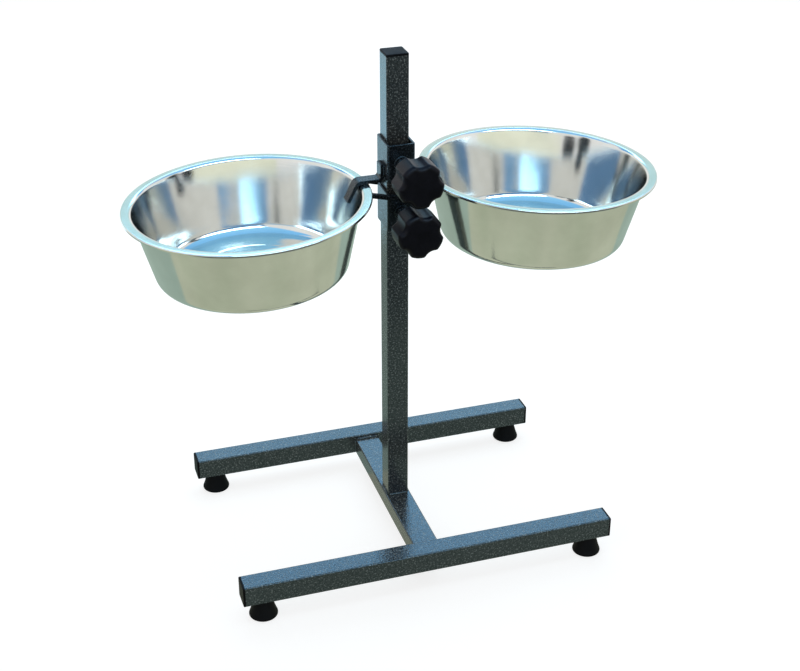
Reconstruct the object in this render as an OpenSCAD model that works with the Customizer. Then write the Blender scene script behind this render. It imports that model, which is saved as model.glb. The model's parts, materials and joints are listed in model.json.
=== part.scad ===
// Dog feeder stand: a welded tube base and post, two clamp collars with star
// knobs, and two steel bowls whose rims are held between hooks and supports.
// Millimetres. +Z is up, +X runs along the base bars, +Y points to the back.
// The origin is on the floor under the post.

/* [Base] */
// Side of the square tube that the bars and the post are cut from
tube = 25; // [20:1:30]
// Wall of that tube
tube_wall = 1.5; // [1:0.1:2.5]
// Outer corner radius of that tube
tube_corner = 1.5; // [1:0.1:3]
// Length of each base bar, end caps included
bar_length = 440; // [380:1:520]
// Distance between the centre lines of the two base bars
bar_spacing = 265; // [220:1:340]
// Width of the flat member that joins the bars
cross_width = 30; // [28:1:40]
// Height of that member
cross_height = 20; // [16:1:24]
// Thickness of a tube cap's visible plate
cap_plate = 2.5; // [2:0.1:5]
// Length of a tube cap's plug inside the tube
cap_plug = 12; // [8:1:20]

/* [Feet] */
// Height of the rubber feet
foot_height = 23; // [18:1:30]
// Diameter of a foot on the floor
foot_base_d = 32.5; // [28:0.5:36]
// Diameter of a foot under the bar
foot_top_d = 20; // [15:0.5:22]
// Distance from a bar's end to the centre of its foot
foot_inset = 24; // [18:1:60]
// Diameter of the screw that holds a foot
screw_d = 5; // [4:0.1:6]

/* [Post] */
// Height of the top of the post's cap above the floor
stand_height = 590; // [570:1:700]

/* [Collars] */
// Height of each collar
collar_height = 41; // [34:1:50]
// Depth of each collar, front to back
collar_depth = 41; // [38:1:50]
// Wall of the collars
collar_wall = 2.5; // [2:0.1:3]
// Height of the lower collar's bottom edge above the floor
collar_level = 397.5; // [380:0.5:420]
// Gap between the two collars when the rims are clamped
collar_gap = 15; // [13:0.5:18]

/* [Knobs] */
// Diameter of the threaded stud
stud_d = 8; // [6:0.5:10]
// Diameter of a knob over its lobes
knob_d = 50; // [44:1:54]
// Depth of a knob's lobed head
knob_head = 30; // [24:1:34]
// Diameter of the hub behind the head
knob_hub_d = 24; // [20:1:28]
// Length of that hub
knob_hub = 14; // [8:1:18]
// Distance from the post's front face to the knob's front face
knob_reach = 84.5; // [80:0.5:95]
// Number of lobes
knob_lobes = 5; // [4:1:8]
// Turn at which the upper knob stands, in degrees
upper_turn = -17; // [-36:1:36]
// Turn at which the lower knob stands, in degrees
lower_turn = -27; // [-36:1:36]

/* [Hooks and supports] */
// Width of the hook strip
hook_width = 15; // [10:0.5:20]
// Thickness of the hook strip
hook_thick = 4; // [3:0.1:5]
// Length of the strip that is welded to the collar's side
hook_weld = 16; // [12:0.5:24]
// Length of the straight leg inside the bowl
hook_leg = 20; // [10:0.5:24]
// Lean of that leg from upright, in degrees
hook_lean = 27; // [24:1:34]
// Side of the square bar of the supports under the rims
support_size = 5; // [4:0.1:6]

/* [Bowls] */
// Outer diameter of a bowl's rim
bowl_rim_d = 266; // [240:1:280]
// Depth of a bowl
bowl_depth = 84; // [70:1:95]
// Thickness of the bowl's sheet steel
bowl_steel = 1.2; // [0.8:0.1:1.6]
// Width of the flange round the rim
bowl_flange = 8.2; // [7.5:0.1:10]
// Lean of the wall from upright, in degrees
bowl_taper = 14; // [10:0.5:20]
// Outer radius of the corner between wall and bottom
bowl_corner = 14; // [8:0.5:18]
// Diameter of the raised panel in the bottom
bowl_panel_d = 132; // [100:1:150]
// Distance from a collar's side to the nearest point of the rim
rim_gap = 16.5; // [14:0.5:24]
// How far each bowl hangs down at its outer side, in degrees
bowl_droop = 2.25; // [0:0.25:4]

/* [Hidden] */
$fn = 64;

// Gaps
slide_gap = 0.5;    // beside the post in a collar
back_gap = 0.2;     // behind the post in a collar, and before a stud's tip
rest_gap = 0.3;     // between a rim and the hook or supports that hold it
turn_gap = 0.05;    // round a stud, radial
plug_gap = 0.2;     // round a cap's plug
screw_gap = 0.1;    // round a foot screw, radial
head_gap = 0.5;     // round a foot screw's head, radial
cut = 1;            // by which a cut or a joined piece runs past a face

// Base and post
tube_in = tube - 2 * tube_wall;
cross_top = foot_height + cross_height;
cross_length = bar_spacing - tube;
cross_wall = 1.5;
post_top = stand_height - cap_plate;
cap_skirt = 2;
cap_edge = 0.8;

// Feet and their screws
foot_x = bar_length / 2 - foot_inset;
foot_round = 2;
screw_head_d = 2 * screw_d;
screw_head = 0.7 * screw_d;
screw_seat = 8;
screw_bite = 8;

// Collars
collar_in_w = tube + 2 * slide_gap;
collar_w = collar_in_w + 2 * collar_wall;
collar_back = tube / 2 + back_gap + collar_wall;
collar_front = collar_back - collar_depth;
collar_y = (collar_back + collar_front) / 2;
collar_corner = 3;
lower_top = collar_level + collar_height;
upper_level = lower_top + collar_gap;
lower_knob_z = collar_level + collar_height / 2;
upper_knob_z = upper_level + collar_height / 2;

// Clamp screws: the nut welded on a collar's front, the stud and the knob
nut_across = 1.625 * stud_d;
nut_thick = 0.8 * stud_d;
stud_tip = -tube / 2 - back_gap;
knob_face = -tube / 2 - knob_reach;
knob_back = knob_face + knob_head;
knob_cover = 8;
stud_embed = knob_head - knob_cover;
lobe_cut_r = 13;
lobe_cut_depth = 3.6;
knob_round = 5;
knob_chamfer = 2;
hub_taper = 4;

// Bowls
rim_r = bowl_rim_d / 2;
bead_r = 1.6;
flange_r = rim_r - bowl_flange;
flange_fillet = 2.5;
corner_sum = bowl_corner + flange_fillet;
wall_drop = bowl_depth - bowl_steel - corner_sum;
bowl_flat_r = flange_r - corner_sum * cos(bowl_taper)
    - tan(bowl_taper) * (wall_drop + corner_sum * sin(bowl_taper));
panel_rise = 1.8;
panel_ramp = 3;
bowl_x = collar_w / 2 + rim_gap + rim_r;
bowl_y = collar_y;
hook_under = upper_level - hook_thick;
bowl_z = hook_under - rest_gap - rim_r * sin(bowl_droop);

// Hooks: the round edge from the flange into the bowl gives the leg its place
hook_bend = 5;
weld_bend = 3;
leg_gap = 1.2;
leg_out = [cos(hook_lean), sin(hook_lean)];
edge_r = flange_fillet + bowl_steel;
edge_x = bowl_x - flange_r * cos(bowl_droop) - edge_r * sin(bowl_droop);
edge_z = bowl_z + flange_r * sin(bowl_droop) - edge_r * cos(bowl_droop);
hook_turn_z = hook_under - hook_bend;
hook_turn_x = edge_x + ((edge_z - hook_turn_z) * leg_out.y + edge_r + leg_gap - hook_bend) / leg_out.x;

// Supports: each rises from its weld to pass just under the bead of the rim
support_half = support_size / 2;
support_drop = 0.5;
support_past_bead = 7;
support_z = lower_top - support_drop;
support_off = collar_depth / 2 + support_half;
bead_in = -sqrt(pow(rim_r - bead_r, 2) - pow(support_off, 2));
bead_x = bowl_x + bead_in * cos(bowl_droop) - 2 * bead_r * sin(bowl_droop);
bead_z = bowl_z - bead_in * sin(bowl_droop) - 2 * bead_r * cos(bowl_droop);
support_bend_x = collar_w / 2;
support_slope = atan2(bead_z - rest_gap - support_half - support_z, bead_x - support_bend_x);
support_tip_run = (bead_x + support_past_bead - support_bend_x) / cos(support_slope);

// Colours
painted_steel = "#4d5756";
black_plastic = "#1b1c1e";
zinc_steel = "#b9bcc0";
bowl_polish = "#cfd3d3";

// Points of an arc round a centre
function arc_points(centre, r, from, to, steps = 8) =
    [for (i = [0:steps]) let (a = from + (to - from) * i / steps) centre + r * [cos(a), sin(a)]];

function reversed(list) = [for (i = [len(list) - 1:-1:0]) list[i]];

// A rectangle with round corners, centred
module round_rect(w, d, r) {
    square([w - 2 * r, d], center = true);
    square([w, d - 2 * r], center = true);
    for (sx = [-1, 1], sy = [-1, 1])
        translate([sx * (w / 2 - r), sy * (d / 2 - r)]) circle(r);
}

// A length of tube along +Z from z = 0
module tube_length(w, d, wall, corner, length) {
    linear_extrude(length) difference() {
        round_rect(w, d, corner);
        square([w - 2 * wall, d - 2 * wall], center = true);
    }
}

// One base bar with the two holes for its foot screws; side is -1 at the front and 1 at the back
module base_bar(side) {
    steel_length = bar_length - 2 * cap_plate;
    color(painted_steel) difference() {
        translate([-steel_length / 2, side * bar_spacing / 2, foot_height + tube / 2])
            rotate([0, 90, 0]) tube_length(tube, tube, tube_wall, tube_corner, steel_length);
        for (sx = [-1, 1])
            translate([sx * foot_x, side * bar_spacing / 2, foot_height - cut])
                cylinder(d = screw_d + 2 * screw_gap, h = tube_wall + 2 * cut);
    }
}

module cross_member() {
    color(painted_steel)
        translate([0, cross_length / 2, foot_height + cross_height / 2]) rotate([90, 0, 0])
            tube_length(cross_width, cross_height, cross_wall, tube_corner, cross_length);
}

module post() {
    color(painted_steel) translate([0, 0, cross_top])
        tube_length(tube, tube, tube_wall, tube_corner, post_top - cross_top);
}

// A tube cap with its plate on z = 0 upwards and its hollow plug below
module tube_cap() {
    plug = tube_in - 2 * plug_gap;
    color(black_plastic) {
        linear_extrude(cap_plate - cap_edge) round_rect(tube, tube, tube_corner);
        translate([0, 0, cap_plate - cap_edge])
            linear_extrude(cap_edge) round_rect(tube - 2 * cap_edge, tube - 2 * cap_edge, tube_corner);
        translate([0, 0, -cap_plug]) linear_extrude(cap_plug) difference() {
            square(plug, center = true);
            square(plug - 2 * cap_skirt, center = true);
        }
    }
}

module post_cap() {
    translate([0, 0, post_top]) tube_cap();
}

// The cap on the end of a bar; sx is -1 at the left and sy is -1 at the front
module bar_cap(sx, sy) {
    translate([sx * (bar_length / 2 - cap_plate), sy * bar_spacing / 2, foot_height + tube / 2])
        rotate([0, sx * 90, 0]) tube_cap();
}

// A rubber foot: a flared round body with a seat for its screw
module foot(sx, sy) {
    base_r = foot_base_d / 2;
    arc = arc_points([base_r - foot_round, foot_round], foot_round, -90, 0);
    color(black_plastic) translate([sx * foot_x, sy * bar_spacing / 2, 0]) difference() {
        rotate_extrude() polygon(concat([[0, 0]], arc, [
            [foot_top_d / 2, foot_height], [0, foot_height]
        ]));
        translate([0, 0, -cut]) cylinder(d = screw_head_d + 2 * head_gap, h = screw_seat + cut);
        cylinder(d = screw_d + 2 * screw_gap, h = foot_height + cut);
    }
}

module foot_screws() {
    color(zinc_steel) for (sx = [-1, 1], sy = [-1, 1])
        translate([sx * foot_x, sy * bar_spacing / 2, screw_seat - screw_head]) {
            cylinder(d = screw_head_d, h = screw_head);
            cylinder(d = screw_d, h = screw_head + foot_height - screw_seat + tube_wall + screw_bite);
        }
}

// A clamp collar with the hole for its stud in the front wall
module collar(level) {
    color(painted_steel) difference() {
        translate([0, collar_y, level]) linear_extrude(collar_height) difference() {
            round_rect(collar_w, collar_depth, collar_corner);
            square([collar_in_w, collar_depth - 2 * collar_wall], center = true);
        }
        translate([0, collar_front + collar_wall + cut, level + collar_height / 2]) rotate([90, 0, 0])
            cylinder(d = stud_d + 2 * turn_gap, h = collar_wall + 2 * cut);
    }
}

// The hexagon nut welded to a collar's front
module clamp_nut(z) {
    color(painted_steel) translate([0, collar_front, z]) rotate([90, 0, 0]) difference() {
        cylinder(d = nut_across / cos(30), h = nut_thick, $fn = 6);
        translate([0, 0, -cut]) cylinder(d = stud_d + 2 * turn_gap, h = nut_thick + 2 * cut);
    }
}

// The stud from the post's front face into the knob
module clamp_stud(z) {
    color(zinc_steel) translate([0, stud_tip, z]) rotate([90, 0, 0])
        cylinder(d = stud_d, h = stud_tip - knob_back + stud_embed);
}

// A star knob: a head with scooped sides and rounded edges on a tapered hub
module clamp_knob(z, turn) {
    r = knob_d / 2;
    edge = arc_points([r - knob_round, knob_head - knob_round], knob_round, 0, 90);
    color(black_plastic) translate([0, knob_back, z]) rotate([90, 0, 0]) difference() {
        union() {
            intersection() {
                rotate_extrude() polygon(concat(
                    [[0, 0], [r - knob_chamfer, 0], [r, knob_chamfer]], edge, [[0, knob_head]]
                ));
                linear_extrude(knob_head) difference() {
                    circle(r);
                    for (i = [0:knob_lobes - 1]) rotate(turn + (i + 0.5) * 360 / knob_lobes)
                        translate([r + lobe_cut_r - lobe_cut_depth, 0]) circle(lobe_cut_r);
                }
            }
            translate([0, 0, -knob_hub])
                cylinder(d1 = knob_hub_d - hub_taper, d2 = knob_hub_d, h = knob_hub + cut);
        }
        translate([0, 0, -knob_hub - cut])
            cylinder(d = stud_d + 2 * turn_gap, h = knob_hub + cut + stud_embed);
    }
}

// A hook: a strip down the collar's side, out over the rim and down inside the bowl
module hook(side) {
    face = collar_w / 2;
    top = hook_under + hook_thick + hook_weld;
    weld_centre = [face + hook_thick + weld_bend, hook_under + hook_thick + weld_bend];
    rim_centre = [hook_turn_x, hook_turn_z];
    leg_end = rim_centre + hook_leg * [leg_out.y, -leg_out.x];
    outline = concat(
        [[face, top]], arc_points(weld_centre, weld_bend + hook_thick, 180, 270),
        arc_points(rim_centre, hook_bend, 90, hook_lean),
        [leg_end + hook_bend * leg_out, leg_end + (hook_bend + hook_thick) * leg_out],
        arc_points(rim_centre, hook_bend + hook_thick, hook_lean, 90),
        arc_points(weld_centre, weld_bend, 270, 180), [[face + hook_thick, top]]
    );
    color(painted_steel) translate([0, bowl_y + hook_width / 2, 0]) rotate([90, 0, 0])
        linear_extrude(hook_width) polygon([for (p = outline) [side * p.x, p.y]]);
}

// A support welded across a collar's face: a square bar with rising ends; face is -1 in front and 1 behind
module support(face) {
    tip = [support_bend_x, 0] + support_tip_run * [cos(support_slope), sin(support_slope)];
    side = support_half * [-sin(support_slope), cos(support_slope)];
    mitre = support_half * tan(support_slope / 2);
    right = [
        [support_bend_x + mitre, -support_half], tip - side,
        tip + side, [support_bend_x - mitre, support_half]
    ];
    left = [for (p = reversed(right)) [-p.x, p.y]];
    color(painted_steel) translate([0, collar_y + face * support_off, support_z]) rotate([90, 0, 0])
        linear_extrude(support_size, center = true) polygon(concat(right, left));
}

// The outline of the sheet from the middle of the bottom to the flange; inset is 0 outside and the
// sheet's thickness inside
function sheet_side(inset) = concat(
    [
        [0, -bowl_depth + panel_rise + inset],
        [bowl_panel_d / 2 - panel_ramp, -bowl_depth + panel_rise + inset],
        [bowl_panel_d / 2, -bowl_depth + inset]
    ],
    arc_points([bowl_flat_r, -bowl_depth + bowl_corner], bowl_corner - inset, -90, -bowl_taper),
    arc_points([flange_r, -bowl_steel - flange_fillet], flange_fillet + inset, 180 - bowl_taper, 90),
    [[rim_r - bead_r, -bowl_steel + inset]]
);

// A bowl: one spun sheet with a rolled bead round its rim
module bowl(side) {
    color(bowl_polish) translate([side * bowl_x, bowl_y, bowl_z]) rotate([0, side * bowl_droop, 0])
        rotate_extrude($fn = 128) {
            polygon(concat(sheet_side(0), reversed(sheet_side(bowl_steel))));
            translate([rim_r - bead_r, -bead_r]) circle(bead_r);
        }
}

base_bar(-1);  // front_bar
base_bar(1);  // rear_bar
cross_member();
post();
post_cap();
bar_cap(-1, -1);  // cap_front_left
bar_cap(1, -1);  // cap_front_right
bar_cap(-1, 1);  // cap_rear_left
bar_cap(1, 1);  // cap_rear_right
foot(-1, -1);  // foot_front_left
foot(1, -1);  // foot_front_right
foot(-1, 1);  // foot_rear_left
foot(1, 1);  // foot_rear_right
foot_screws();
collar(upper_level);  // upper_collar
collar(collar_level);  // lower_collar
clamp_nut(upper_knob_z);  // upper_nut
clamp_nut(lower_knob_z);  // lower_nut
clamp_stud(upper_knob_z);  // upper_stud
clamp_stud(lower_knob_z);  // lower_stud
clamp_knob(upper_knob_z, upper_turn);  // upper_knob
clamp_knob(lower_knob_z, lower_turn);  // lower_knob
hook(-1);  // left_hook
hook(1);  // right_hook
support(-1);  // front_support
support(1);  // rear_support
bowl(-1);  // left_bowl
bowl(1);  // right_bowl
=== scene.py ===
# %% [markdown]
# # A feeder stand with two steel bowls
# The real stand is welded from square steel tube: two base bars, a flat cross member and a post. Two collars
# slide on the post, each locked by a star knob, and hold a pair of spun steel bowls by their rims. The packed
# CAD model is the fixed frame of this lesson. Plain tubes keep their CAD shape and only get paint, and each
# piece with a finer form is worked out here with numpy in the same place.

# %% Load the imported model
import json

import bpy
import numpy as np
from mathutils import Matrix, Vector

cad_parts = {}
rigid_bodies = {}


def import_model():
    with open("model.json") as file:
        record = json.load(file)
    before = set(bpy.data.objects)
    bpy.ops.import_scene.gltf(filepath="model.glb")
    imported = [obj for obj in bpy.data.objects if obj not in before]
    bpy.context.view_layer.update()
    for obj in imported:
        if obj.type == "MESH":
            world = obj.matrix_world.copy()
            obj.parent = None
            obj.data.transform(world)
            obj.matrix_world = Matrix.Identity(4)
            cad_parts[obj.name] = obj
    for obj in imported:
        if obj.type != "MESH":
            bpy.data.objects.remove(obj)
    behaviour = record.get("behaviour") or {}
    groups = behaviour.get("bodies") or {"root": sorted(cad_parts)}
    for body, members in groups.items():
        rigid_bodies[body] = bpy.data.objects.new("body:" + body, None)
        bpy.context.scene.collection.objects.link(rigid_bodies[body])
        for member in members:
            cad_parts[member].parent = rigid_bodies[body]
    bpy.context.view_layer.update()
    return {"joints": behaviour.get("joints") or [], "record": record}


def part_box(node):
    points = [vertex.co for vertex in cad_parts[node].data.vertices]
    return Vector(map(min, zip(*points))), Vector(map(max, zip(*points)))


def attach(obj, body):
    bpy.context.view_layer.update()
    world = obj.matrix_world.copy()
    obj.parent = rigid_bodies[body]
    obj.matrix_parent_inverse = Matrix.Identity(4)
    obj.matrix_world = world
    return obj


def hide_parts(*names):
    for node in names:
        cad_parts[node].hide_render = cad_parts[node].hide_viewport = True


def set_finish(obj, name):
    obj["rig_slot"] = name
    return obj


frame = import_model()

# %% [markdown]
# ## From grids of points to pieces
# Nearly every piece here is a stack of rings: a bowl is circles of changing radius, a cap is rounded squares,
# a bent strip is rectangles along a path. One could model each with bevels and extrusions by hand, but a ring
# is easy to write as a formula, so one function turns any stack of rings into a closed mesh. Lengths are in
# millimetres, as on a drawing, and become metres only when the mesh is filled.

# %% Rings into faces
def facets(rings, poles=None):
    """Points and faces of a closed surface through rings of points.

    rings[i, j] is point j of ring i. Four neighbours make a face, and the last point of a ring joins its
    first. Without poles the last ring joins the first ring; with two poles, a fan closes either end.
    """
    n, m = rings.shape[:2]
    index = np.arange(n * m).reshape(n, m)
    here, there = (index, np.roll(index, -1, 0)) if poles is None else (index[:-1], index[1:])
    quads = np.stack([here, np.roll(here, -1, 1), np.roll(there, -1, 1), there], -1).reshape(-1, 4)
    if poles is None:
        return rings.reshape(-1, 3), quads.ravel(), np.full(len(quads), 4)
    first = np.stack([np.full(m, n * m), np.roll(index[0], -1), index[0]], -1)
    last = np.stack([np.full(m, n * m + 1), index[-1], np.roll(index[-1], -1)], -1)
    corners = np.concatenate([quads.ravel(), first.ravel(), last.ravel()])
    sizes = np.concatenate([np.full(len(quads), 4), np.full(2 * m, 3)])
    return np.vstack([rings.reshape(-1, 3), poles]), corners, sizes


print("three rings of four points, closed to a loop, make", len(facets(np.zeros((3, 4, 3)))[2]), "faces")

# %% A piece from its rings
MM = 0.001


def piece(name, grids, body, slot, stands_for=(), flats=True):
    """One object from a list of (rings, poles), riding on its body and hiding the nodes it stands for.

    flats=True weights each corner's normal by the area of its faces, so that flat sides shade flat.
    """
    parts = [facets(*grid) for grid in grids]
    starts = np.cumsum([0] + [len(points) for points, _, _ in parts])
    corners = np.concatenate([c + start for (_, c, _), start in zip(parts, starts)])
    sizes = np.concatenate([s for _, _, s in parts])
    mesh = bpy.data.meshes.new(name)
    mesh.vertices.add(starts[-1])
    mesh.vertices.foreach_set("co", (np.vstack([p for p, _, _ in parts]) * MM).ravel())
    mesh.loops.add(len(corners))
    mesh.loops.foreach_set("vertex_index", corners)
    mesh.polygons.add(len(sizes))
    mesh.polygons.foreach_set("loop_start", np.cumsum(sizes) - sizes)
    mesh.update(calc_edges=True)
    mesh.shade_smooth()
    obj = bpy.data.objects.new(name, mesh)
    bpy.context.scene.collection.objects.link(obj)
    if flats:
        obj.modifiers.new("flat_sides", "WEIGHTED_NORMAL")
    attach(obj, body)
    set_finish(obj, slot)
    if stands_for:
        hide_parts(*stands_for)
    print(f"{name}: {len(mesh.vertices)} points, {len(mesh.polygons)} faces")
    return obj


print("lengths are drawn in millimetres of", MM, "m")

# %% Arcs, outlines and turned shapes
def arc(centre, radius, start, end, steps):
    """Points on a circle: centre plus radius times (cosine, sine) of an angle from start to end degrees."""
    angle = np.radians(np.linspace(start, end, steps + 1))
    return np.array(centre) + radius * np.stack([np.cos(angle), np.sin(angle)], -1)


def rounded_loop(width, depth, radius, steps):
    """Points round a rectangle with round corners: four quarter circles, one from each corner's centre."""
    turn = np.radians(np.array([0, 90, 180, 270])[:, None] + np.linspace(0, 90, steps + 1))
    x = np.array([1, -1, -1, 1])[:, None] * (width / 2 - radius) + radius * np.cos(turn)
    y = np.array([1, 1, -1, -1])[:, None] * (depth / 2 - radius) + radius * np.sin(turn)
    return np.stack([x.ravel(), y.ravel()], -1)


def turned(profile, count):
    """Rings of a turned shape: each (radius, height) of the profile goes round the Z axis in count steps."""
    angle = np.linspace(0, 2 * np.pi, count, endpoint=False)
    radius, height = profile[:, :1], profile[:, 1:]
    return np.stack([radius * np.cos(angle), radius * np.sin(angle), height + 0 * angle], -1)


print("a square with corners of 6 steps has", len(rounded_loop(1, 1, 0.1, 6)), "points")

# %% Places in the CAD frame
UP = np.eye(3)
LEFT = np.array([[0, 0, 1], [0, 1, 0], [-1, 0, 0]])
RIGHT = np.array([[0, 0, -1], [0, 1, 0], [1, 0, 0]])
FORWARD = np.array([[1, 0, 0], [0, 0, 1], [0, -1, 0]])


def placed(points, axes, origin):
    """Local points put in place: origin plus x, y and z times the three world directions in axes."""
    return np.asarray(points) @ axes + origin


def box_mm(node):
    """Lowest and highest corner of a CAD node in millimetres."""
    low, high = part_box(node)
    return np.array(low) / MM, np.array(high) / MM


tube = 25.0
post_low, post_high = box_mm("post")
bar_low, bar_high = box_mm("front_bar")
bar_y = -(bar_low[1] + bar_high[1]) / 2
print(f"post {post_low[2]:.1f} to {post_high[2]:.1f} mm, bars {bar_y:.1f} mm from the middle")

# %% [markdown]
# ## Spun steel bowls
# A bowl starts as a disc that is pressed over a former and spun, so its section is one line of sheet with
# two sides: flat bottom with a raised panel, round corner, leaning wall, flange, and a bead that is rolled at
# the edge and pressed a little flat outside. A Screw or Spin modifier on a drawn line would do it, but the
# profile as an array of radius and height is exact, and gives each point its distance along the sheet, which
# the steel's finish uses for its spinning lines. Real bowls are never quite round, so the wall carries waves
# of a fifth of a millimetre, which the polish shows.

# %% Bowl profile
rim_r, bowl_depth, sheet = 133.0, 84.0, 1.2
bead_r, flange_w, flange_fillet = 1.6, 8.2, 2.5
bead_under, bead_over = 0.9, 1.1
bowl_taper, bowl_corner = 14.0, 14.0
panel_r, panel_rise, panel_ramp = 66.0, 1.8, 3.0
pole_r, bend_room, longest_run = 6.0, 2.0, 3.0
flange_r = rim_r - flange_w
corner_sum = bowl_corner + flange_fillet
lean = np.radians(bowl_taper)
flat_r = (flange_r - corner_sum * np.cos(lean)
          - np.tan(lean) * (bowl_depth - sheet - corner_sum * (1 - np.sin(lean))))


def sheet_side(inset):
    """One side of the sheet, from the bottom's middle to the flange, as (radius, height).

    Straight runs, a half cosine wave down from the panel and two arcs, all moved inwards by inset.
    """
    level = -bowl_depth + inset
    share = np.linspace(0, 1, 7)
    rise = panel_rise * (0.5 + 0.5 * np.cos(np.pi * share))
    inner = np.linspace(pole_r, panel_r - panel_ramp - bend_room, 6)
    outer = np.linspace(panel_r + bend_room, flat_r - bend_room, 4)
    return np.vstack([
        np.stack([inner, np.full(6, level + panel_rise)], -1),
        np.stack([panel_r - panel_ramp * (1 - share), level + rise], -1),
        np.stack([outer, np.full(4, level)], -1),
        arc((flat_r, -bowl_depth + bowl_corner), bowl_corner - inset, -90, -bowl_taper, 12),
        arc((flange_r, -sheet - flange_fillet), flange_fillet + inset, 180 - bowl_taper, 90, 8),
    ])


def spread(profile, longest):
    """The profile with long straight runs cut into steps no longer than that, so that waves can bend them."""
    run = np.concatenate([[0], np.cumsum(np.hypot(*np.diff(profile, axis=0).T))])
    extra = np.linspace(0, run[-1], int(run[-1] / longest))
    gap = np.abs(extra[:, None] - run).min(1)
    along = np.sort(np.concatenate([run, extra[gap > longest / 2]]))
    return np.stack([np.interp(along, run, profile[:, 0]), np.interp(along, run, profile[:, 1])], -1), along


bead = np.vstack([
    arc((rim_r - bead_r, -bead_r), bead_r, 200, 270, 7),
    arc((rim_r - bead_under, -2 * bead_r + bead_under), bead_under, 270, 360, 9),
    arc((rim_r - bead_over, -bead_over), bead_over, 0, 90, 9),
])
bowl_line = np.vstack([sheet_side(0.0), bead, sheet_side(sheet)[::-1]])
bowl_profile, bowl_along = spread(bowl_line, longest_run)
print(f"bowl profile: {len(bowl_profile)} points, {bowl_along[-1]:.0f} mm of sheet,",
      f"flat bottom {2 * flat_r:.1f} mm across")

# %% The two bowls
bowl_steps = 256
joints = {joint["name"]: joint for joint in frame["joints"]}


def bowl_axes(side):
    """World directions of a bowl's own axes, from the axis that it turns about."""
    up = np.array(joints[f"{side}_bowl_turn"]["axis"])
    return np.array([np.cross([0, 1, 0], up), [0, 1, 0], up])


def bowl_rings(waves):
    """The turned profile, with its radius moved by a sum of low waves.

    Each wave is its size times the sine of count times the angle, shifted with height by its slant; all fade
    out at the bottom and the rim.
    """
    rings = turned(bowl_profile, bowl_steps)
    angle = np.linspace(0, 2 * np.pi, bowl_steps, endpoint=False)
    height = -bowl_profile[:, 1:] / bowl_depth
    fade = np.clip(4 * height * (1 - height), 0, 1)
    swell = sum(size * np.sin(count * angle + phase + slant * height) for count, size, phase, slant in waves)
    radius = np.maximum(bowl_profile[:, :1], 1)
    rings[..., :2] *= (1 + fade * swell / radius)[..., None]
    return rings


# each wave: its count round the bowl, its size in millimetres, its phase and its slant
bowl_waves = {
    "left": [(2, 0.22, 0.4, 0.8), (5, 0.10, 1.9, -2.0), (9, 0.045, 0.7, 3.0)],
    "right": [(2, 0.20, 2.1, -0.6), (4, 0.12, 0.3, 2.2), (11, 0.04, 1.2, -2.5)],
}
for side, waves in bowl_waves.items():
    centre = np.array(joints[f"{side}_bowl_turn"]["pos_m"]) / MM
    axes = bowl_axes(side)
    poles = np.array([[0, 0, bowl_profile[0, 1]], [0, 0, bowl_profile[-1, 1]]])
    grid = placed(bowl_rings(waves), axes, centre), placed(poles, axes, centre)
    bowl = piece(f"{side}_bowl_spun", [grid], f"{side}_bowl", "bowl_steel", [f"{side}_bowl"], flats=False)
    along = np.concatenate([np.repeat(bowl_along, bowl_steps), [0, bowl_along[-1]]])
    bowl.data.attributes.new("along_sheet", "FLOAT", "POINT").data.foreach_set("value", along)

# %% [markdown]
# ## Clamp collars
# Each collar is a short length of rectangular tube with its sawn edges filed smooth. A cube with a hole and a
# Bevel modifier would do, but here a ring is a blend from the tube's outer outline to its inner one, and a
# small closed path of (blend, height) goes up outside, over the edge and down inside.

# %% Collar tubes
collar_wall, collar_corner, inner_corner, filed = 2.5, 3.0, 0.8, 0.6


def collar_rings(low, high):
    """Rings of outer plus blend times (inner minus outer) outline, at heights along a closed path."""
    width, depth, height = high - low
    outer = rounded_loop(width, depth, collar_corner, 8)
    inner = rounded_loop(width - 2 * collar_wall, depth - 2 * collar_wall, inner_corner, 8)
    corner = arc((filed, filed), filed, 180, 90, 4)
    share = corner[:, 0] / collar_wall
    top, bottom = height - filed + corner[:, 1], filed - corner[:, 1]
    path = np.vstack([
        np.stack([share, top], -1), np.stack([1 - share, top], -1)[::-1],
        np.stack([1 - share, bottom], -1), np.stack([share, bottom], -1)[::-1],
    ])
    blend, z = path[:, :1, None], path[:, 1:]
    flat = outer + blend * (inner - outer)
    middle = (low + high) / 2
    return np.concatenate([flat, (z + 0 * outer[:, 0])[..., None]], -1) + [middle[0], middle[1], low[2]]


collar_box = {level: box_mm(f"{level}_collar") for level in ("lower", "upper")}
for level, (low, high) in collar_box.items():
    piece(f"{level}_collar_tube", [(collar_rings(low, high), None)], f"{level}_carriage", "clamp_paint",
          [f"{level}_collar"])

# %% [markdown]
# ## Hooks and supports
# The hooks are flat strip bent in a vice: down the collar's side, out over the rim and down into the bowl.
# The supports are square bar with both ends bent up. Both are a section with rounded edges carried along a
# path in a vertical plane, so one function makes them. A curve object with a bevel profile would be close,
# but its section can roll at a bend.

# %% A section along a path
soft_edge, end_reach, end_share = 0.6, 0.5, 0.86


def eased(path):
    """The path with a point added just inside either end, and the size of the section at each point."""
    first, last = path[1] - path[0], path[-2] - path[-1]
    start = path[0] + end_reach * first / np.hypot(*first)
    end = path[-1] + end_reach * last / np.hypot(*last)
    size = np.ones(len(path) + 2)
    size[[0, -1]] = end_share
    return np.vstack([path[:1], start, path[1:-1], end, path[-1:]]), size


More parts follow.
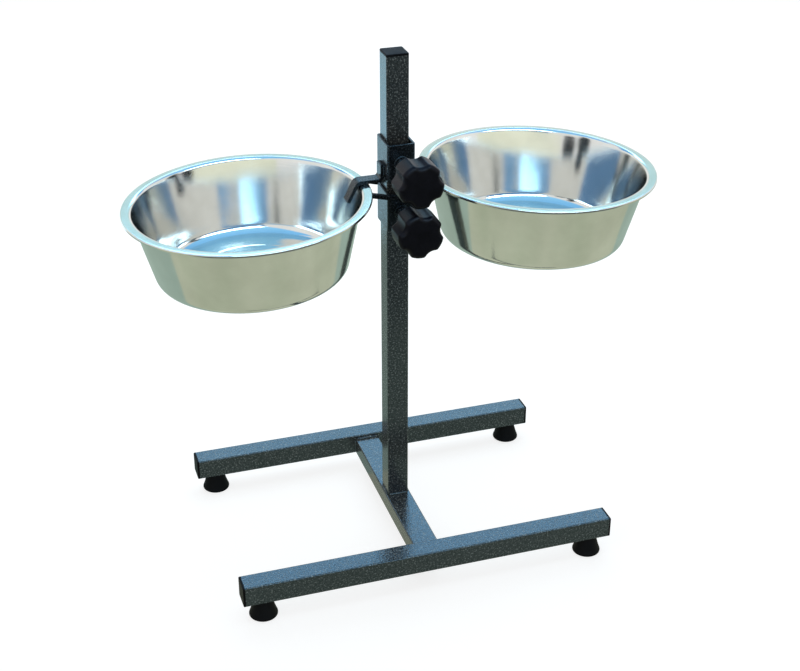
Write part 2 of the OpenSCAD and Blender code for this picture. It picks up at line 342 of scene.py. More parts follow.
def bent_bar(path, section, y):
    """A section (across, along Y) carried along a path of (x, z): each ring stands square to the path."""
    path, size = eased(path)
    tangent = np.gradient(path, axis=0)
    tangent /= np.hypot(*tangent.T)[:, None]
    across = np.stack([tangent[:, 1], -tangent[:, 0]], -1)
    flat = path[:, None] + size[:, None, None] * section[:, :1] * across[:, None]
    depth = y + size[:, None] * section[:, 1]
    rings = np.stack([flat[..., 0], depth, flat[..., 1]], -1)
    ends = np.array([[path[0, 0], y, path[0, 1]], [path[-1, 0], y, path[-1, 1]]])
    return rings, ends


print(f"bars shrink to {end_share:.0%} of their section over the last {end_reach} mm")

# %% Hooks over the rims
hook_width, hook_thick, hook_weld, hook_leg = 15.0, 4.0, 16.0, 20.0
hook_bend, weld_bend, hook_lean, leg_gap = 5.0, 3.0, 27.0, 1.2
upper_low, upper_high = collar_box["upper"]
clamp_y = (upper_low[1] + upper_high[1]) / 2
hook_under = upper_low[2] - hook_thick
edge_r = flange_fillet + sheet
rim_middle = np.array(joints["right_bowl_turn"]["pos_m"]) / MM
edge = placed([-flange_r, 0, -edge_r], bowl_axes("right"), rim_middle)
leg_out = np.array([np.cos(np.radians(hook_lean)), np.sin(np.radians(hook_lean))])
turn_z = hook_under - hook_bend
turn_x = edge[0] + ((edge[2] - turn_z) * leg_out[1] + edge_r + leg_gap - hook_bend) / leg_out[0]
strip = rounded_loop(hook_thick, hook_width, soft_edge, 4)
half_thick = hook_thick / 2
weld_x = upper_high[0] + half_thick
weld_turn = (weld_x + weld_bend + half_thick, hook_under + hook_thick + weld_bend)
over_rim = arc((turn_x, turn_z), hook_bend + half_thick, 90, hook_lean, 12)
leg_end = over_rim[-1] + hook_leg * np.array([leg_out[1], -leg_out[0]])
hook_path = np.vstack([
    [weld_x, hook_under + hook_thick + hook_weld],
    arc(weld_turn, weld_bend + half_thick, 180, 270, 12), over_rim, leg_end,
])
for side, sign in (("left", -1), ("right", 1)):
    grid = bent_bar(hook_path * [sign, 1], strip, clamp_y)
    piece(f"{side}_hook_strip", [grid], "upper_carriage", "clamp_paint", [f"{side}_hook"])

# %% Supports under the rims
support_size, support_drop, support_bend = 5.0, 0.5, 8.0
lower_low, lower_high = collar_box["lower"]
square_bar = rounded_loop(support_size, support_size, soft_edge, 4)
level_z = lower_high[2] - support_drop
for face in ("front", "rear"):
    low, high = box_mm(f"{face}_support")
    tip = np.array([high[0], high[2] - support_size / 2])
    knee = np.array([lower_high[0], level_z])
    slope = np.arctan2(tip[1] - knee[1], tip[0] - knee[0])
    run = support_bend * np.tan(slope / 2)
    bend = arc(knee + [-run, support_bend], support_bend, -90, -90 + np.degrees(slope), 6)
    right_half = np.vstack([bend, tip])
    support_path = np.vstack([right_half[::-1] * [-1, 1], right_half])
    grid = bent_bar(support_path, square_bar, (low[1] + high[1]) / 2)
    piece(f"{face}_support_bar", [grid], "lower_carriage", "clamp_paint", [f"{face}_support"])

# %% [markdown]
# ## Clamp screws
# A knob is moulded round the head of a threaded stud, and a hexagon nut is welded to the collar's front. The
# thread could be a Screw modifier, but a thread is only a radius that depends on angle and length: it rises
# and falls once a pitch, and is shifted by the angle. The nut is a hexagon clipped by two cones, and the knob
# a circle with five scoops taken out of it, so both are also a radius as a function of angle and height.

# %% Threaded studs
stud_r, pitch, thread_depth = 4.0, 1.25, 0.65
flank, crest, tip_cut, tip_slope = 1.25, 0.15, 1.1, 0.8


def thread_rings(length, per_turn=8, around=40):
    """Radius of a thread: the outer radius less its depth times a saw wave of height over pitch minus turn.

    The saw is clipped to flat crests and roots, and a cone clips either end of the stud.
    """
    height = np.arange(0, length + 0.01, pitch / per_turn)[:, None]
    angle = np.linspace(0, 2 * np.pi, around, endpoint=False)
    saw = np.abs(2 * ((height / pitch - angle / (2 * np.pi)) % 1) - 1)
    radius = stud_r - thread_depth * np.clip(flank * saw - crest, 0, 1)
    from_end = np.minimum(height, length - height)
    radius = np.minimum(radius, stud_r - tip_cut + tip_slope * from_end)
    return np.stack([radius * np.cos(angle), radius * np.sin(angle), height + 0 * angle], -1)


for level in ("lower", "upper"):
    low, high = box_mm(f"{level}_stud")
    length = high[1] - low[1]
    tip = np.array([0, high[1], (low[2] + high[2]) / 2])
    ends = [[0, 0, 0], [0, 0, length]]
    grid = placed(thread_rings(length), FORWARD, tip), placed(ends, FORWARD, tip)
    piece(f"{level}_stud_thread", [grid], f"{level}_screw", "zinc_steel", [f"{level}_stud"], flats=False)

# %% Hexagon nuts
nut_across, nut_thick = 13.0, 6.4
face_share, cone_slope, bore_gap, bore_chamfer = 0.48, 1.3, 0.05, 0.8


def nut_rings(around=96):
    """Radius of a hexagon, half its width over the cosine of the angle from a flat's middle.

    A cone clips it at either end, and four more rings go back through the bore.
    """
    angle = np.linspace(0, 2 * np.pi, around, endpoint=False)
    hexagon = nut_across / 2 / np.cos(angle % (np.pi / 3) - np.pi / 6)
    below = np.array([0, 0.25, 0.6, 1.0])
    height = np.concatenate([below, nut_thick - below[::-1]])[:, None]
    cone = face_share * nut_across + cone_slope * np.minimum(height, nut_thick - height)
    bore = np.full((4, around), stud_r) + [[1], [bore_gap], [bore_gap], [1]]
    radius = np.vstack([np.minimum(hexagon, cone), bore])
    height = np.vstack([height, [[nut_thick], [nut_thick - bore_chamfer], [bore_chamfer], [0]]])
    return np.stack([radius * np.cos(angle), radius * np.sin(angle), height + 0 * angle], -1)


for level, (low, high) in collar_box.items():
    seat = np.array([0, low[1], (low[2] + high[2]) / 2])
    grid = placed(nut_rings(), FORWARD, seat), None
    piece(f"{level}_nut_hexagon", [grid], f"{level}_carriage", "clamp_paint", [f"{level}_nut"])

# %% Star knobs
knob_r, knob_head, knob_round, lobes = 25.0, 30.0, 5.0, 5
scoop_r, scoop_depth, crest_sharp = 13.0, 3.6, 1.6
knob_turn = {"lower": np.radians(-27), "upper": np.radians(-17)}
hub_r, hub_end_r, hub_length, bore_depth = 12.0, 10.0, 14.0, 22.3
back_round, face_crown = 2.0, 0.5


def lobe_outline(angle):
    """The knob's outline: the nearer of a circle and a scoop's circle along each ray.

    The two are joined softly: minus the logarithm of the sum of their exponentials, over the sharpness.
    """
    from_scoop = angle % (2 * np.pi / lobes) - np.pi / lobes
    reach = knob_r + scoop_r - scoop_depth
    inside = np.clip(scoop_r**2 - (reach * np.sin(from_scoop))**2, 0, None)
    scoop = reach * np.cos(from_scoop) - np.sqrt(inside)
    return -np.log(np.exp(-crest_sharp * knob_r) + np.exp(-crest_sharp * scoop)) / crest_sharp


def knob_rings(turn, around=240):
    """Rings from the bore, round the hub, out over the back, up the lobes and over the edge to the face."""
    angle = np.linspace(0, 2 * np.pi, around, endpoint=False)
    outline = lobe_outline(angle - turn)
    hub = np.array([
        [stud_r + bore_gap, bore_depth], [stud_r + bore_gap, -hub_length + 0.6], [stud_r + 0.6, -hub_length],
        [hub_end_r - 0.8, -hub_length], [hub_end_r - 0.2, -hub_length + 0.3], [hub_end_r, -hub_length + 0.9],
        [hub_r - 0.1, -1.4], [hub_r + 0.3, -0.5], [hub_r + 1.3, 0],
    ])
    hub_radius = hub[:, :1] + 0 * angle
    back = arc((back_round, back_round), back_round, 270, 180, 5)
    bend = np.linspace(0, np.pi / 2, 10)
    front = np.stack([knob_round * (1 - np.cos(bend)), knob_head - knob_round * (1 - np.sin(bend))], -1)
    side = np.vstack([back, front])
    lobed = outline - side[:, :1]
    share = np.array([0.97, 0.75, 0.5, 0.25, 0.08])[:, None]
    face = (outline - knob_round) * share
    crown = face_crown * (1 - share[:, 0]**2)
    height = np.concatenate([hub[:, 1], side[:, 1], knob_head + crown])[:, None]
    radius = np.vstack([hub_radius, lobed, face])
    return np.stack([radius * np.cos(angle), radius * np.sin(angle), height + 0 * angle], -1)


for level in ("lower", "upper"):
    low, high = box_mm(f"{level}_stud")
    head_back = np.array([0, box_mm(f"{level}_knob")[0][1] + knob_head, (low[2] + high[2]) / 2])
    ends = [[0, 0, bore_depth], [0, 0, knob_head + face_crown]]
    grid = placed(knob_rings(knob_turn[level]), FORWARD, head_back), placed(ends, FORWARD, head_back)
    piece(f"{level}_knob_moulding", [grid], f"{level}_handle", "knob_plastic", [f"{level}_knob"])

# %% [markdown]
# ## Caps and feet
# The tube ends are closed by pressed-in plastic caps, and the stand rests on four moulded rubber feet that
# flare towards the floor. A bevelled cube and a cone would come close. Here a cap is rounded squares that
# shrink over its edge to a slightly crowned middle, and a foot is one smooth line turned round, with the
# recess for its screw in the underside, so that light runs over them as over a moulding.

# %% Tube caps
cap_plate, cap_plug, plug_width, cap_edge = 2.5, 12.0, 21.6, 0.8
plug_chamfer, cap_chamfer, cap_crown, corner_share = 1.5, 0.2, 0.25, 0.06


def cap_rings():
    """Rounded squares whose half width and height follow the plug, the plate's edge and the crowned top."""
    half, plug = tube / 2, plug_width / 2
    share = np.array([0.9, 0.65, 0.35, 0.1])
    path = np.vstack([
        [[plug - plug_chamfer, -cap_plug], [plug, -cap_plug + plug_chamfer], [plug, 0]],
        [[half - cap_chamfer, 0], [half, cap_chamfer]],
        arc((half - cap_edge, cap_plate - cap_edge), cap_edge, 0, 90, 6),
        np.stack([(half - cap_edge) * share, cap_plate + cap_crown * (1 - share**2)], -1),
    ])
    loop = rounded_loop(1, 1, corner_share, 6)
    return np.concatenate([2 * path[:, :1, None] * loop, path[:, None, 1:] + 0 * loop[:, :1]], -1)


caps = {"post_cap": (UP, np.array([0, 0, post_high[2]]))}
for side, axes, x in (("left", LEFT, bar_low[0]), ("right", RIGHT, bar_high[0])):
    for end, y in (("front", -bar_y), ("rear", bar_y)):
        caps[f"cap_{end}_{side}"] = (axes, np.array([x, y, (bar_low[2] + bar_high[2]) / 2]))
cap_poles = [[0, 0, -cap_plug], [0, 0, cap_plate + cap_crown]]
for node, (axes, seat) in caps.items():
    grid = placed(cap_rings(), axes, seat), placed(cap_poles, axes, seat)
    piece(f"{node}_moulding", [grid], "frame", "cap_plastic", [node])

# %% Rubber feet
foot_height = bar_low[2]
screw_seat_r, screw_seat, seat_chamfer, foot_top_r = 5.5, 8.0, 0.3, 9.7
foot_line = np.array([
    [13.4, 0], [14.8, 0.2], [15.9, 1.0], [16.25, 2.3], [15.9, 3.8], [15.0, 6.2], [13.6, 10.5], [12.3, 15.0],
    [11.1, 19.0], [10.1, foot_height - 0.4],
])


def smooth_line(points, steps=5):
    """A smooth curve through points: between two, the cubic whose slopes are half the step across each."""
    slope = np.gradient(points, axis=0)
    t = np.linspace(0, 1, steps, endpoint=False)[:, None]
    a, b, u, v = points[:-1, None], points[1:, None], slope[:-1, None], slope[1:, None]
    curve = a + u * t + (3 * (b - a) - 2 * u - v) * t**2 + (2 * (a - b) + u + v) * t**3
    return np.vstack([curve.reshape(-1, 2), points[-1:]])


foot_profile = np.vstack([
    [[screw_seat_r - seat_chamfer, screw_seat], [screw_seat_r, screw_seat - seat_chamfer]],
    [[screw_seat_r, 0.5], [screw_seat_r + 0.5, 0]],
    smooth_line(foot_line), [[foot_top_r, foot_height]],
])
for end, y in (("front", -bar_y), ("rear", bar_y)):
    for side in ("left", "right"):
        low, high = box_mm(f"foot_{end}_{side}")
        under = np.array([(low[0] + high[0]) / 2, y, 0])
        ends = under + [[0, 0, screw_seat], [0, 0, foot_height]]
        piece(f"foot_{end}_{side}_rubber", [(turned(foot_profile, 72) + under, ends)], "frame", "foot_rubber",
              [f"foot_{end}_{side}"])

# %% [markdown]
# ## Weld seams
# The bars, the cross member and the post are welded along their touching edges, and so are the hooks,
# supports and nuts on the collars. A bead is a round rope of metal laid in the corner, with a ripple for each
# dab of the torch. It could be a bevelled curve with a bumpy finish, but the ripples show in outline, so each
# bead is circles along a line, whose radius swells once a ripple and fades at both ends.

# %% Beads along lines and round nuts
ripple, ripple_depth, ripple_bow = 1.9, 0.09, 1.1
bead_step, fade_power = 0.4, 6


def bead_line(start, end, out, size):
    """Circles along a line, moved out of the corner by a third of size.

    Their radius is size times a fade at both ends times one plus a ripple, a cosine of the length along.
    """
    start, end, out = np.array(start, float), np.array(end, float), np.array(out, float)
    length = np.linalg.norm(end - start)
    forward, out = (end - start) / length, out / np.linalg.norm(out)
    s = np.linspace(0, length, int(length / bead_step))[:, None]
    angle = np.linspace(0, 2 * np.pi, 16, endpoint=False)
    wave = np.cos(2 * np.pi * s / ripple + ripple_bow * np.cos(angle))
    fade = np.clip(1 - (2 * s / length - 1)**fade_power, 0.05, 1)**0.5
    radius = size * fade * (1 + ripple_depth * wave)
    around = np.cos(angle)[:, None] * out + np.sin(angle)[:, None] * np.cross(forward, out)
    middle = start + s * forward + size / 3 * out
    return middle[:, None] + radius[..., None] * around, np.array([middle[0], middle[-1]])


def bead_ring(seat, across, size):
    """Circles round a circle on the collar's front, whose radius ripples a whole number of times round."""
    turn = np.linspace(0, 2 * np.pi, 120, endpoint=False)[:, None]
    angle = np.linspace(0, 2 * np.pi, 12, endpoint=False)
    count = round(2 * np.pi * across / ripple)
    radius = size * (1 + ripple_depth * np.cos(count * turn + ripple_bow * np.cos(angle)))
    out = across + radius * np.cos(angle)
    rings = np.stack([out * np.cos(turn), out * np.sin(turn), -radius * np.sin(angle)], -1)
    return placed(rings, FORWARD, seat), None


print(f"a ripple every {ripple} mm, {ripple_depth:.0%} of the bead's radius")

# %% Seams of the frame
cross_seam, post_seam, seam_end = 13.5, 11.0, 1.5
top_bead, post_bead, flank_bead, edge_bead = 1.9, 1.7, 1.5, 1.7
half = tube / 2
cross_low, cross_high = box_mm("cross_member")
seams = []
for sign in (-1, 1):
    joint_y, top = sign * cross_high[1], cross_high[2]
    post_face = sign * half
    seams += [
        bead_line((-cross_seam, joint_y, top), (cross_seam, joint_y, top), (0, -sign, 1), top_bead),
        bead_line((-post_seam, post_face, top), (post_seam, post_face, top), (0, sign, 1), post_bead),
        bead_line((post_face, -post_seam, top), (post_face, post_seam, top), (sign, 0, 1), flank_bead),
    ]
    for edge_x in (-cross_high[0], cross_high[0]):
        seams.append(bead_line((edge_x, joint_y, cross_low[2] + seam_end), (edge_x, joint_y, top - seam_end),
                               (np.sign(edge_x), -sign, 0), edge_bead))
piece("frame_welds", seams, "frame", "frame_paint", flats=False)

# %% Seams of the collars
nut_seam_r, clamp_bead, slim_bead = 7.3, 1.3, 0.9
hook_seam, support_seam = (3.0, 15.5), 12.5
seams = {"lower": [], "upper": []}
for level, (low, high) in collar_box.items():
    seat = np.array([0, low[1], (low[2] + high[2]) / 2])
    seams[level].append(bead_ring(seat, nut_seam_r, clamp_bead))
bar_under, bar_over = level_z - support_size / 2, lower_high[2]
for sign in (-1, 1):
    side_x = sign * upper_high[0]
    for edge in (-1, 1):
        edge_y = clamp_y + edge * hook_width / 2
        start, end = ((side_x, edge_y, upper_low[2] + rise) for rise in hook_seam)
        seams["upper"].append(bead_line(start, end, (sign, edge, 0), clamp_bead))
    face_y = lower_low[1] if sign < 0 else lower_high[1]
    for z, out, size in ((bar_under, (0, sign, -1), clamp_bead), (bar_over, (0, -sign, 1), slim_bead)):
        seams["lower"].append(bead_line((-support_seam, face_y, z), (support_seam, face_y, z), out, size))
for level, lines in seams.items():
    piece(f"{level}_welds", lines, f"{level}_carriage", "clamp_paint", flats=False)

# %% [markdown]
# ## Finishes as node graphs
# A finish could be a picture wrapped round its piece, but a picture needs unwrapping and shows its pixels
# from near by. Here each finish is a small graph of nodes on Object coordinates: it has detail at any
# distance, and stays put on its piece. A few helpers keep the graphs short enough to read.

# %% Node helpers
def add(tree, kind, sockets=None, **settings):
    """A shader node with its settings, and its inputs set to a value or linked to another node's output."""
    node = tree.nodes.new("ShaderNode" + kind)
    for key, value in settings.items():
        setattr(node, key, value)
    for key, value in (sockets or {}).items():
        if isinstance(value, bpy.types.NodeSocket):
            tree.links.new(value, node.inputs[key])
        else:
            node.inputs[key].default_value = value
    return node


def ramp(tree, value, stops):
    """A colour ramp: stops are (position, colour) pairs, with a grey as a single number."""
    node = add(tree, "ValToRGB", {"Fac": value})
    elements = node.color_ramp.elements
    while len(elements) < len(stops):
        elements.new(0.5)
    for element, (position, colour) in zip(elements, stops):
        element.position = position
        element.color = (colour, colour, colour, 1) if np.isscalar(colour) else (*colour, 1)
    return node.outputs["Color"]


def finish(name, **sockets):
    """A new material with these values on its Principled shader, and its node tree."""
    material = bpy.data.materials.new(name)
    material.use_nodes = True
    tree = material.node_tree
    shader = tree.nodes["Principled BSDF"]
    for key, value in sockets.items():
        shader.inputs[key.replace("_", " ")].default_value = value
    print("finish:", name)
    return material, tree, shader


def bump(tree, shader, height, distance, strength):
    """Links a height pattern to the shader's normal; distance is the height of white over black in metres."""
    node = add(tree, "Bump", {"Height": height, "Distance": distance, "Strength": strength})
    tree.links.new(node.outputs["Normal"], shader.inputs["Normal"])


slot_of = {part["node"]: part["material_slot"] for part in frame["record"]["subparts"]}
print("finishes to make:", sorted(set(slot_of.values())))

# %% [markdown]
# ## Hammered paint
# The stand is sprayed with hammer finish: as it dries, the paint draws into shallow pools a few millimetres
# wide, and its silver flakes gather in them. A photograph of paint would repeat along a bar, and pools as
# geometry would be millions of faces. A smooth cell pattern already has the pools' shape, so its distance
# gives both their colour and a slight bump, and the peaks of a fine noise are the flakes. The clamp parts
# have a darker coat with less shine, and their colours are made darker still as painted shade, for the
# collars' fronts lie in the shadow of the knobs.

# %% Hammered paint
# painted reflection: a blue tint on the paint's gloss, standing in for the sky that the top faces mirror
painted_sky_sheen = (0.58, 0.84, 1.0, 1)
drift_scale, drift_share = 260.0, 0.003
pool_depth, pool_strength = 0.00025, 0.3


def hammered_paint(name, ground, pool, flake, pool_size, ior, smooth):
    """Dark ground, lighter pools of a given size in metres, and bright flakes where a fine noise peaks."""
    material, tree, shader = finish(name, IOR=ior, Specular_Tint=painted_sky_sheen)
    place = add(tree, "TexCoord").outputs["Object"]
    drift = add(tree, "TexNoise", {"Vector": place, "Scale": drift_scale, "Detail": 1.0})
    bent = add(tree, "MixRGB", {"Fac": drift_share, "Color1": place, "Color2": drift.outputs["Color"]})
    pools = add(tree, "TexVoronoi",
                {"Vector": bent.outputs["Color"], "Scale": 1 / pool_size, "Smoothness": 0.5},
                feature="SMOOTH_F1")
    flakes = add(tree, "TexNoise",
                 {"Vector": place, "Scale": 1 / pool_size, "Detail": 2.0, "Roughness": 0.65})
    shade = ramp(tree, pools.outputs["Distance"], [(0.15, pool), (0.65, ground)])
    peaks = ramp(tree, flakes.outputs["Fac"], [(0.56, 0.0), (0.64, 1.0)])
    colour = add(tree, "MixRGB", {"Fac": peaks, "Color1": shade, "Color2": (*flake, 1)})
    tree.links.new(colour.outputs["Color"], shader.inputs["Base Color"])
    rough = ramp(tree, flakes.outputs["Fac"], [(0.3, smooth), (0.7, smooth + 0.16)])
    tree.links.new(rough, shader.inputs["Roughness"])
    bump(tree, shader, pools.outputs["Distance"], pool_depth, pool_strength)
    return material


frame_paint = hammered_paint(
    "frame_paint", ground=(0.023, 0.024, 0.024), pool=(0.062, 0.066, 0.064), flake=(0.20, 0.21, 0.20),
    pool_size=0.0021, ior=1.6, smooth=0.14)
# The clamp colours are partly the darker coat and partly painted shade: near black, like the collars' fronts
# in the knobs' shadow.
clamp_paint = hammered_paint(
    "clamp_paint", ground=(0.004, 0.005, 0.007), pool=(0.010, 0.012, 0.015), flake=(0.035, 0.040, 0.047),
    pool_size=0.0018, ior=1.4, smooth=0.20)

# %% [markdown]
# ## Bare metal
# The bowls are polished stainless steel that keeps the fine circles of the spinning tool, and the studs and
# foot screws are zinc plated. The circles could be an anisotropic shader, but that needs tangents on every
# face. Here a noise of one dimension runs along the sheet, by the distance that each point of the bowl
# carries, so its lines go round the bowl. Zinc is duller, with a fine crystal grain.

# %% Polished steel and zinc
scratch_depth, scratch_strength = 0.00004, 0.35


def spun_steel(name):
    """Mirror steel: base colour with faint clouds, and circles of fine scratches along the sheet."""
    material, tree, shader = finish(name, Metallic=1.0)
    place = add(tree, "TexCoord").outputs["Object"]
    along = add(tree, "Attribute", attribute_name="along_sheet").outputs["Fac"]
    lines = add(tree, "TexNoise", {"W": along, "Scale": 2.2, "Detail": 4.0, "Roughness": 0.8},
                noise_dimensions="1D")
    clouds = add(tree, "TexNoise", {"Vector": place, "Scale": 22.0, "Detail": 3.0})
    colour = ramp(tree, clouds.outputs["Fac"], [(0.3, (0.68, 0.685, 0.65)), (0.7, (0.78, 0.785, 0.755))])
    tree.links.new(colour, shader.inputs["Base Color"])
    rough = ramp(tree, lines.outputs["Fac"], [(0.35, 0.07), (0.75, 0.16)])
    tree.links.new(rough, shader.inputs["Roughness"])
    bump(tree, shader, lines.outputs["Fac"], scratch_depth, scratch_strength)
    return material


def zinc_plate(name):
    """Dull bright plating: a fine crystal grain that changes both the metal's colour and its roughness."""
    material, tree, shader = finish(name, Metallic=1.0)
    place = add(tree, "TexCoord").outputs["Object"]
    grain = add(tree, "TexNoise", {"Vector": place, "Scale": 900.0, "Detail": 3.0}).outputs["Fac"]
    colour = ramp(tree, grain, [(0.3, (0.42, 0.44, 0.46)), (0.7, (0.62, 0.63, 0.65))])
    tree.links.new(colour, shader.inputs["Base Color"])
    tree.links.new(ramp(tree, grain, [(0.3, 0.22), (0.7, 0.42)]), shader.inputs["Roughness"])
    return material


bowl_steel, zinc_steel = spun_steel("bowl_steel"), zinc_plate("zinc_steel")

# %% [markdown]
# ## Plastic and rubber
# Caps and knobs are moulded in black plastic, and the feet in rubber. A mould is blasted with grit, so what
# comes out of it has a fine grain, and black is never quite even. One flat colour would look like a hole in
# the picture. Two close shades in soft clouds and a shallow grain are enough, and the three mouldings differ
# only in how rough and how glossy they are.

# %% Plastic and rubber
cloud_scale, grain_strength, rough_spread = 70.0, 0.4, 0.08


def moulded(name, dark, light, rough, gloss, grain_size, grain_depth):
    """A dark moulding: two close shades in soft clouds, and a fine grain in the surface."""
    material, tree, shader = finish(name, Specular_IOR_Level=gloss)
    place = add(tree, "TexCoord").outputs["Object"]
    clouds = add(tree, "TexNoise", {"Vector": place, "Scale": cloud_scale, "Detail": 3.0}).outputs["Fac"]
    grain = add(tree, "TexNoise", {"Vector": place, "Scale": 1 / grain_size, "Detail": 2.0}).outputs["Fac"]
    tree.links.new(ramp(tree, clouds, [(0.35, dark), (0.7, light)]), shader.inputs["Base Color"])
    roughness = ramp(tree, grain, [(0.3, rough - rough_spread), (0.7, rough + rough_spread)])
    tree.links.new(roughness, shader.inputs["Roughness"])
    bump(tree, shader, grain, grain_depth, grain_strength)
    return material


cap_plastic = moulded(
    "cap_plastic", dark=(0.004, 0.004, 0.005), light=(0.009, 0.009, 0.011), rough=0.48, gloss=0.05,
    grain_size=0.0007, grain_depth=0.00012)
# The knob's shades lean blue as painted sky light, the tint of a face in shade under open sky.
knob_plastic = moulded(
    "knob_plastic", dark=(0.002, 0.002, 0.005), light=(0.005, 0.005, 0.010), rough=0.36, gloss=0.12,
    grain_size=0.0008, grain_depth=0.00010)
foot_rubber = moulded(
    "foot_rubber", dark=(0.002, 0.002, 0.003), light=(0.005, 0.005, 0.006), rough=0.60, gloss=0.09,
    grain_size=0.0009, grain_depth=0.00015)

# %% Paint every piece by its slot
finishes = {
    "frame_paint": frame_paint, "clamp_paint": clamp_paint,
    "bowl_steel": bowl_steel, "zinc_steel": zinc_steel,
    "cap_plastic": cap_plastic, "knob_plastic": knob_plastic, "foot_rubber": foot_rubber,
}
painted = 0
for obj in list(bpy.data.objects):
    slot = slot_of.get(obj.name) or obj.get("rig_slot")
    if slot:
        obj.data.materials.clear()
        obj.data.materials.append(finishes[slot])
        painted += 1
print(painted, "objects painted in", len(finishes), "finishes")

# %% [markdown]
# ## White floor
# The stand is shown as in a catalogue, on white paper. A floor bright enough to look white would also throw
# its light up at the stand and wash it out. So the paper answers rays in two ways: to the camera and to
# mirrors it is white and takes a soft shadow, and to all other light it is plain grey. The world behind it
# does the same.

# %% White floor
floor_half, floor_z = 9, -0.0003


def white_rays(tree):
    """1 for rays from the camera, from a mirror or through glass, and 0 for the light that bounces about."""
    path = add(tree, "LightPath")
    mirror = add(tree, "Math", {0: path.outputs["Is Glossy Ray"], 1: path.outputs["Is Transmission Ray"]},
                 operation="MAXIMUM")
    either = add(tree, "Math", {0: path.outputs["Is Camera Ray"], 1: mirror.outputs[0]}, operation="MAXIMUM")
    return either.outputs[0]


floor_mesh = bpy.data.meshes.new("floor")
floor_corners = [(x * floor_half, y * floor_half, floor_z) for x, y in ((-1, -1), (1, -1), (1, 1), (-1, 1))]
floor_mesh.from_pydata(floor_corners, [], [(0, 1, 2, 3)])
floor = bpy.data.objects.new("floor", floor_mesh)
bpy.context.scene.collection.objects.link(floor)
paper = bpy.data.materials.new("paper")
paper.use_nodes = True
tree = paper.node_tree
tree.nodes.clear()
lit = add(tree, "BsdfDiffuse", {"Color": (0.45, 0.45, 0.44, 1)})
shown = add(tree, "BsdfDiffuse", {"Color": (0.30, 0.30, 0.30, 1)})
glow = add(tree, "Emission", {"Color": (1, 1, 1, 1), "Strength": 0.80})
both = add(tree, "AddShader", {0: shown.outputs[0], 1: glow.outputs[0]})
mixed = add(tree, "MixShader", {0: white_rays(tree), 1: lit.outputs[0], 2: both.outputs[0]})
add(tree, "OutputMaterial", {"Surface": mixed.outputs[0]})
floor_mesh.materials.append(paper)
print("floor:", 2 * floor_half, "m square")

# %% White world
world = bpy.data.worlds.new("studio")
bpy.context.scene.world = world
world.use_nodes = True
tree = world.node_tree
tree.nodes.clear()
dim = add(tree, "Background", {"Color": (0.92, 0.96, 1.0, 1), "Strength": 0.35})
white = add(tree, "Background", {"Color": (1, 1, 1, 1), "Strength": 1.0})
mixed = add(tree, "MixShader", {0: white_rays(tree), 1: dim.outputs[0], 2: white.outputs[0]})
add(tree, "OutputWorld", {"Surface": mixed.outputs[0]})
print("world:", world.name)

# %% [markdown]
# ## Cards to mirror
# Polished steel and gloss paint show the place they stand in: sandy ground in front of them and sky behind. A
# modelled garden or a picture of one could be mirrored, but a few glowing cards that only mirrors see are
# simpler, and each can be put just where a face of the stand looks. A ray from the camera that meets a level
# face goes on upwards to the back, one that meets the front of a bowl goes down to the ground before it, and
# one that meets the inside of a bowl comes back over the near rim.

# %% A glowing card
LEVEL, BEHIND, BEFORE = (0, 0, 1), (0, 1, 0), (0, -1, 0)
patch_scale = 3.0


def card(name, place, away, width, height, low, high, patchy=0.0):
    """A glowing rectangle that only mirrors see, square to the direction away.

    Its colour runs from low to high up the card; patchy adds that much of a soft noise to the run.
    """
    x, y = width / 2, height / 2
    mesh = bpy.data.meshes.new(name)
    mesh.from_pydata([(-x, -y, 0), (x, -y, 0), (x, y, 0), (-x, y, 0)], [], [(0, 1, 2, 3)])
    obj = bpy.data.objects.new(name, mesh)
    obj.location, obj.rotation_euler = place, Vector(away).to_track_quat("Z", "Y").to_euler()
    obj.visible_camera = obj.visible_diffuse = obj.visible_transmission = obj.visible_shadow = False
    bpy.context.scene.collection.objects.link(obj)
    material = bpy.data.materials.new(name)
    material.use_nodes = True
    tree = material.node_tree
    tree.nodes.clear()
    spot = add(tree, "TexCoord").outputs["Object"]
    rise = add(tree, "SeparateXYZ", {"Vector": spot}).outputs["Y"]
    share = add(tree, "MapRange", {"Value": rise, "From Min": -y, "From Max": y}).outputs["Result"]
    cloud = add(tree, "TexNoise", {"Vector": spot, "Scale": patch_scale, "Detail": 2.0}).outputs["Fac"]
    stray = add(tree, "Math", {0: cloud, 1: 0.5}, operation="SUBTRACT").outputs[0]
    mixed = add(tree, "Math", {0: stray, 1: patchy, 2: share}, operation="MULTIPLY_ADD", use_clamp=True)
    colour = add(tree, "MixRGB", {"Fac": mixed.outputs[0], "Color1": (*low, 1), "Color2": (*high, 1)})
    glow = add(tree, "Emission", {"Color": colour.outputs["Color"], "Strength": 1.0})
    add(tree, "OutputMaterial", {"Surface": glow.outputs[0]})
    mesh.materials.append(material)
    print(f"{name}: {width} by {height} m")


# %% Ground that the bowls' walls, the rims and the post mirror
dark_ground = (0.14, 0.16, 0.155)
card("sand_card", (0, -0.95, 0.0005), LEVEL, 3.6, 2.6, (0.54, 0.58, 0.45), (0.38, 0.45, 0.32), patchy=1.6)
card("far_ground_card", (0, -2.15, 0.001), LEVEL, 8.0, 3.2, dark_ground, dark_ground)
card("warm_card", (0.1, -2.8, 0.62), BEFORE, 6.0, 1.2, (0.86, 0.90, 0.70), (1.0, 1.02, 0.86))
card("shade_card", (0, 0.53, 0.001), LEVEL, 2.4, 0.86, (0.40, 0.50, 0.43), (0.36, 0.48, 0.42), patchy=0.8)
card("pale_card", (-0.50, 1.40, 0.0015), LEVEL, 0.70, 1.12, (0.85, 1.40, 1.65), (1.0, 1.60, 1.90))

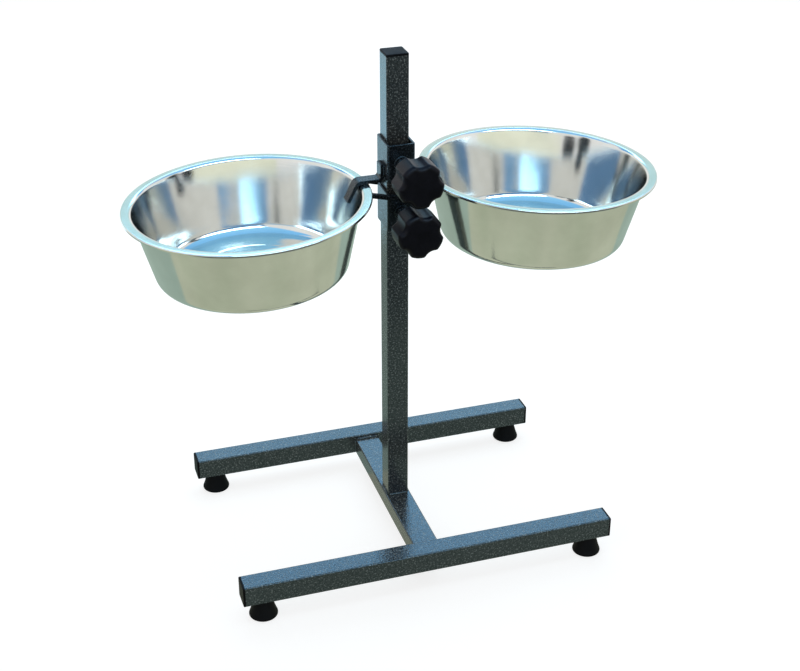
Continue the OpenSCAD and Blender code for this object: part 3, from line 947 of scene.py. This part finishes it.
# %% Sky that flanges, bars and the insides of the bowls mirror
far_sky, strip_white = (1.45, 2.70, 3.90), (5.5, 7.5, 9.0)
card("band_card", (2.4, 8.0, 3.95), BEHIND, 10.0, 1.5, (0.62, 0.80, 0.74), (0.54, 0.98, 1.18))
card("far_sky_card", (2.4, 8.0, 5.5), BEHIND, 6.0, 1.6, far_sky, far_sky)
card("sky_card", (0.9, 2.6, 2.10), BEHIND, 2.6, 0.50, (1.70, 3.10, 4.40), (2.20, 4.00, 5.70))
card("deep_card", (0.5, 2.6, 2.90), BEHIND, 8.0, 1.10, (0.26, 0.56, 0.98), (0.20, 0.46, 0.86))
card("front_card", (0.3, -2.7, 1.95), (0.1, -0.85, 0.5), 4.4, 1.7, (0.16, 0.30, 0.50), (0.10, 0.28, 0.66))
card("top_card", (0.2, -0.5, 2.7), LEVEL, 4.0, 3.6, (0.24, 0.64, 1.15), (0.40, 0.90, 1.35))
card("strip_card", (0.25, -1.65, 2.05), (0.1, -0.6, 0.78), 3.0, 0.6, strip_white, strip_white)

# %% [markdown]
# ## Softboxes
# Large soft lamps light the stand from above and behind, like an open sky, and a weak warm one fills in from
# the left. Small lamps or a sun would draw hard shadows on the white floor. The lamps do not show in mirrors,
# because the cards are there for that, so light and reflections can be set apart.

# %% Softboxes
def softbox(name, place, aim, width, height, watts, colour):
    """A rectangular lamp that looks from a place at a point; it lights the stand and is not itself seen."""
    lamp = bpy.data.lights.new(name, "AREA")
    lamp.shape, lamp.size, lamp.size_y, lamp.energy, lamp.color = "RECTANGLE", width, height, watts, colour
    obj = bpy.data.objects.new(name, lamp)
    obj.location = place
    obj.rotation_euler = (Vector(aim) - Vector(place)).to_track_quat("-Z", "Y").to_euler()
    obj.visible_camera = obj.visible_glossy = False
    bpy.context.scene.collection.objects.link(obj)
    print(f"{name}: {watts} W")


softbox("overhead", (0.3, 0.5, 2.4), (0.0, 0.0, 0.2), 2.4, 2.4, 46, (0.74, 0.90, 1.0))
softbox("behind", (0.7, 2.2, 1.35), (0, 0, 0.25), 2.6, 1.5, 14, (0.70, 0.90, 1.0))
softbox("left_key", (-1.7, -1.1, 1.7), (0, 0, 0.3), 1.4, 1.4, 8, (1.0, 0.96, 0.88))

# %% [markdown]
# ## Camera
# The stand is seen from the left and above, as by somebody who stands before it. The camera's place could be
# set by eye, but here it was worked out from the corners of the base, the post and the collars, so it is
# written as a direction and a distance from the point that it looks at.

# %% Camera
azimuth, elevation, distance = np.radians(-17.671), np.radians(28.292), 1.749353
aim = Vector((0.018798, 0.039217, 0.229972))
back = Vector((np.sin(azimuth) * np.cos(elevation), -np.cos(azimuth) * np.cos(elevation), np.sin(elevation)))
lens = bpy.data.cameras.new("camera")
lens.sensor_fit, lens.sensor_width, lens.lens = "HORIZONTAL", 36.0, 66.625
camera = bpy.data.objects.new("camera", lens)
camera.location = aim + distance * back
camera.rotation_euler = (-back).to_track_quat("-Z", "Y").to_euler()
bpy.context.scene.collection.objects.link(camera)
bpy.context.scene.camera = camera
bpy.context.scene.view_settings.view_transform = "Standard"
print("camera at", [round(v, 3) for v in camera.location])
